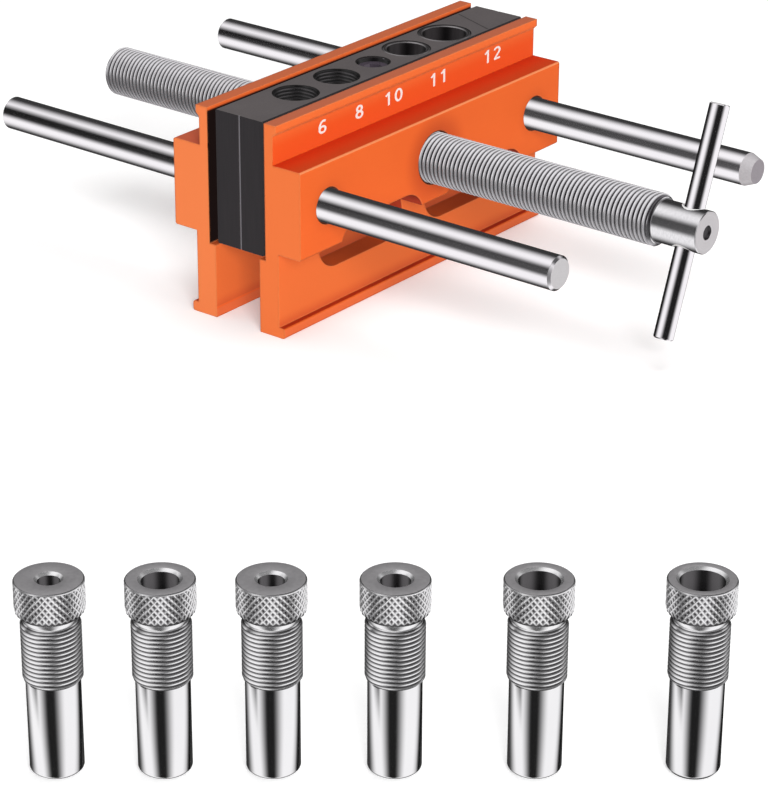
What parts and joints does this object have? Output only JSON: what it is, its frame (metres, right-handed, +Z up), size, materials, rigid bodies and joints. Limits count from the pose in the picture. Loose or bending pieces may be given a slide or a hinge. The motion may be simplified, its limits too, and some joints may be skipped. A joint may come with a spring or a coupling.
{
  "type": "self centering doweling jig",
  "caption": "Self centering doweling jig: two orange jaws on guide rods and a double-ended lead screw with T-bar, black drill block with holes, and loose knurled drill bushings.",
  "frame": {"origin": "middle of the block's underside, where the board's edge seats", "axes": "+X along the jaws towards the hole marked 12, -Y along the lead screw towards its T-bar, +Z up out of the drill holes"},
  "size_m": [0.4093, 0.4162, 0.0878],
  "materials": {
    "jaw": "orange anodised extrusion, satin",
    "block": "black oxide, finely ground",
    "rod": "ground and polished",
    "screw": "satin, threaded",
    "black_screw": "black oxide",
    "sleeve": "ground",
    "bushing": "turned, knurled and polished"
  },
  "bodies": {
    "block": {"guide_block": "block", "guide_rod_left": "rod", "guide_rod_right": "rod", "screw_retainer": "black_screw", "rod_grub_left": "black_screw", "rod_grub_right": "black_screw", "drill_sleeve_11": "sleeve", "drill_sleeve_12": "sleeve"},
    "front_jaw": {"front_jaw": "jaw"},
    "rear_jaw": {"rear_jaw": "jaw"},
    "screw": {"lead_screw": "screw"},
    "handle": {"handle_bar": "rod"},
    "bushing_1": {"drill_bushing_1": "bushing"},
    "bushing_2": {"drill_bushing_2": "bushing"},
    "bushing_3": {"drill_bushing_3": "bushing"},
    "bushing_4": {"drill_bushing_4": "bushing"},
    "bushing_5": {"drill_bushing_5": "bushing"},
    "bushing_6": {"drill_bushing_6": "bushing"}
  },
  "joints": [
    {"name": "screw_turn", "type": "hinge", "parent": "block", "child": "screw", "pos_m": [0, -0.1357, 0.0193], "axis": [0, -1, 0], "range_deg": [-402, 17290]},
    {"name": "front_jaw_slide", "type": "slide", "parent": "block", "child": "front_jaw", "axis": [0, -1, 0], "range_m": [-0.00195, 0.084]},
    {"name": "rear_jaw_slide", "type": "slide", "parent": "block", "child": "rear_jaw", "axis": [0, 1, 0], "range_m": [-0.00195, 0.084]},
    {"name": "handle_slide", "type": "slide", "parent": "screw", "child": "handle", "axis": [0.3518, 0, 0.9361], "range_m": [-0.0325, 0.0282]},
    {"name": "bushing_1_lift", "type": "slide", "parent": "block", "child": "bushing_1", "axis": [0, 0, 1], "range_m": [0, 0.07]},
    {"name": "bushing_2_lift", "type": "slide", "parent": "block", "child": "bushing_2", "axis": [0, 0, 1], "range_m": [0, 0.07]},
    {"name": "bushing_3_lift", "type": "slide", "parent": "block", "child": "bushing_3", "axis": [0, 0, 1], "range_m": [0, 0.07]},
    {"name": "bushing_4_lift", "type": "slide", "parent": "block", "child": "bushing_4", "axis": [0, 0, 1], "range_m": [0, 0.07]},
    {"name": "bushing_5_lift", "type": "slide", "parent": "block", "child": "bushing_5", "axis": [0, 0, 1], "range_m": [0, 0.07]},
    {"name": "bushing_6_lift", "type": "slide", "parent": "block", "child": "bushing_6", "axis": [0, 0, 1], "range_m": [0, 0.07]}
  ],
  "couplings": [
    {"joint": "screw_turn", "follows": "front_jaw_slide", "rad_per_m": 3590.4},
    {"joint": "rear_jaw_slide", "follows": "front_jaw_slide", "ratio": 1}
  ]
}
